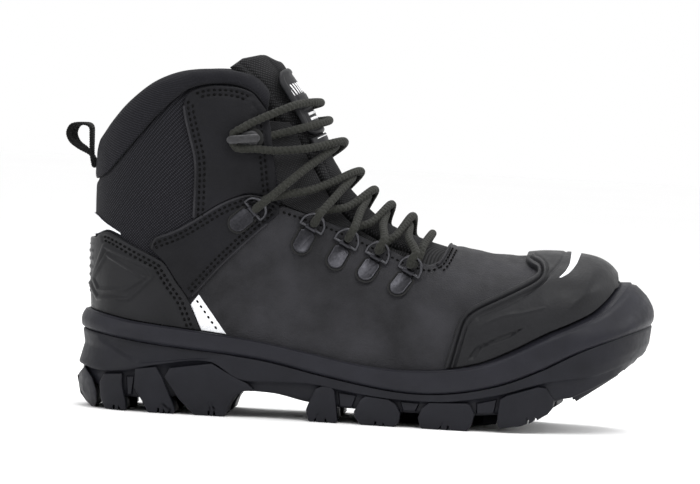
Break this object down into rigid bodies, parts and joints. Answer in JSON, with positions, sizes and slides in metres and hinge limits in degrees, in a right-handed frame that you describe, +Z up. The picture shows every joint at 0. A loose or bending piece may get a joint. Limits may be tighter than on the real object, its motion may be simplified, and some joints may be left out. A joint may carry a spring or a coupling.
{
  "type": "steel toe work boot",
  "caption": "Ankle-high lace-up safety work boot with lugged sole, hidden steel toe cap, D-ring lacing, padded collar and tongue, and a heel pull loop.",
  "frame": {"origin": "centre of the boot in plan, on the floor its lugs stand on", "axes": "+X from heel to toe, +Z up, -Y towards the outer (lateral) side of a right foot"},
  "size_m": [0.3134, 0.114, 0.1902],
  "materials": {
    "outsole_rubber": "matt, moulded lugs",
    "midsole_rubber": "matt, fine grain",
    "steel": "bare",
    "board": "matt fibre board",
    "footbed_foam": "matt fabric over foam",
    "counter_plastic": "matt",
    "upper_leather": "satin full grain",
    "black_textile": "coarse weave",
    "lining": "mesh",
    "collar_textile": "woven, padded",
    "overlay_leather": "pebbled, coated",
    "reflective": "fine reflective weave",
    "heel_cap_leather": "coated, embossed",
    "label_rubber": "satin, moulded",
    "white_print": "matt",
    "lace_cord": "braided",
    "gunmetal": "satin gunmetal"
  },
  "bodies": {
    "boot": {"outsole_heel": "outsole_rubber", "outsole_arch": "outsole_rubber", "outsole_forefoot": "outsole_rubber", "midsole": "midsole_rubber", "shank": "steel", "insole_board": "board", "footbed": "footbed_foam", "steel_toe_cap": "steel", "heel_counter": "counter_plastic", "vamp": "upper_leather", "quarter_lateral": "upper_leather", "quarter_medial": "upper_leather", "rear_textile": "black_textile", "vamp_lining": "lining", "quarter_lining": "lining", "collar": "collar_textile", "toe_overlay": "overlay_leather", "toe_reflective_strip": "reflective", "heel_cap": "heel_cap_leather", "heel_reflective_strip": "reflective", "side_reflective_lateral": "reflective", "side_reflective_medial": "reflective", "ankle_band_lateral": "overlay_leather", "ankle_band_medial": "overlay_leather", "eyestay_lateral": "upper_leather", "eyestay_medial": "upper_leather", "gusset_lateral": "black_textile", "gusset_medial": "black_textile", "lace": "lace_cord", "ring_clips_lateral": "gunmetal", "ring_clips_medial": "gunmetal", "hook_lateral": "gunmetal", "hook_medial": "gunmetal"},
    "tongue_flap": {"tongue": "black_textile", "tongue_label": "label_rubber", "label_bars": "white_print", "lace_keeper": "black_textile"},
    "heel_loop": {"pull_loop": "black_textile"},
    "lateral_ring_1": {"ring_lateral_1": "gunmetal"},
    "lateral_ring_2": {"ring_lateral_2": "gunmetal"},
    "lateral_ring_3": {"ring_lateral_3": "gunmetal"},
    "lateral_ring_4": {"ring_lateral_4": "gunmetal"},
    "lateral_ring_5": {"ring_lateral_5": "gunmetal"},
    "medial_ring_1": {"ring_medial_1": "gunmetal"},
    "medial_ring_2": {"ring_medial_2": "gunmetal"},
    "medial_ring_3": {"ring_medial_3": "gunmetal"},
    "medial_ring_4": {"ring_medial_4": "gunmetal"},
    "medial_ring_5": {"ring_medial_5": "gunmetal"}
  },
  "joints": [
    {"name": "tongue_tilt", "type": "hinge", "parent": "boot", "child": "tongue_flap", "pos_m": [0.033, -0.0022, 0.095], "axis": [0, 1, 0], "range_deg": [-8, 0]},
    {"name": "loop_swing", "type": "hinge", "parent": "boot", "child": "heel_loop", "pos_m": [-0.1424, -0.0022, 0.1265], "axis": [0, 1, 0], "range_deg": [-60, 5]},
    {"name": "lateral_ring_1_swing", "type": "hinge", "parent": "boot", "child": "lateral_ring_1", "pos_m": [-0.05497, -0.04502, 0.10826], "axis": [-0.6805, -0.0668, 0.7297], "range_deg": [-12, 10]},
    {"name": "lateral_ring_2_swing", "type": "hinge", "parent": "boot", "child": "lateral_ring_2", "pos_m": [-0.02457, -0.03895, 0.10064], "axis": [-0.8869, -0.0964, 0.4519], "range_deg": [-12, 10]},
    {"name": "lateral_ring_3_swing", "type": "hinge", "parent": "boot", "child": "lateral_ring_3", "pos_m": [-0.0064, -0.03698, 0.09314], "axis": [-0.891, -0.01, 0.454], "range_deg": [-12, 10]},
    {"name": "lateral_ring_4_swing", "type": "hinge", "parent": "boot", "child": "lateral_ring_4", "pos_m": [0.00999, -0.03669, 0.08699], "axis": [-0.8799, 0.1572, 0.4483], "range_deg": [-12, 10]},
    {"name": "lateral_ring_5_swing", "type": "hinge", "parent": "boot", "child": "lateral_ring_5", "pos_m": [0.02754, -0.03919, 0.08056], "axis": [-0.8626, 0.2503, 0.4395], "range_deg": [-12, 10]},
    {"name": "medial_ring_1_swing", "type": "hinge", "parent": "boot", "child": "medial_ring_1", "pos_m": [-0.05497, 0.04062, 0.10826], "axis": [0.6805, -0.0668, -0.7297], "range_deg": [-12, 10]},
    {"name": "medial_ring_2_swing", "type": "hinge", "parent": "boot", "child": "medial_ring_2", "pos_m": [-0.02457, 0.03455, 0.10064], "axis": [0.8869, -0.0964, -0.4519], "range_deg": [-12, 10]},
    {"name": "medial_ring_3_swing", "type": "hinge", "parent": "boot", "child": "medial_ring_3", "pos_m": [-0.0064, 0.03268, 0.09314], "axis": [0.891, -0.01, -0.454], "range_deg": [-12, 10]},
    {"name": "medial_ring_4_swing", "type": "hinge", "parent": "boot", "child": "medial_ring_4", "pos_m": [0.00999, 0.03278, 0.08698], "axis": [0.88, 0.1567, -0.4484], "range_deg": [-12, 10]},
    {"name": "medial_ring_5_swing", "type": "hinge", "parent": "boot", "child": "medial_ring_5", "pos_m": [0.02754, 0.03602, 0.08055], "axis": [0.8627, 0.25, -0.4396], "range_deg": [-12, 10]}
  ]
}
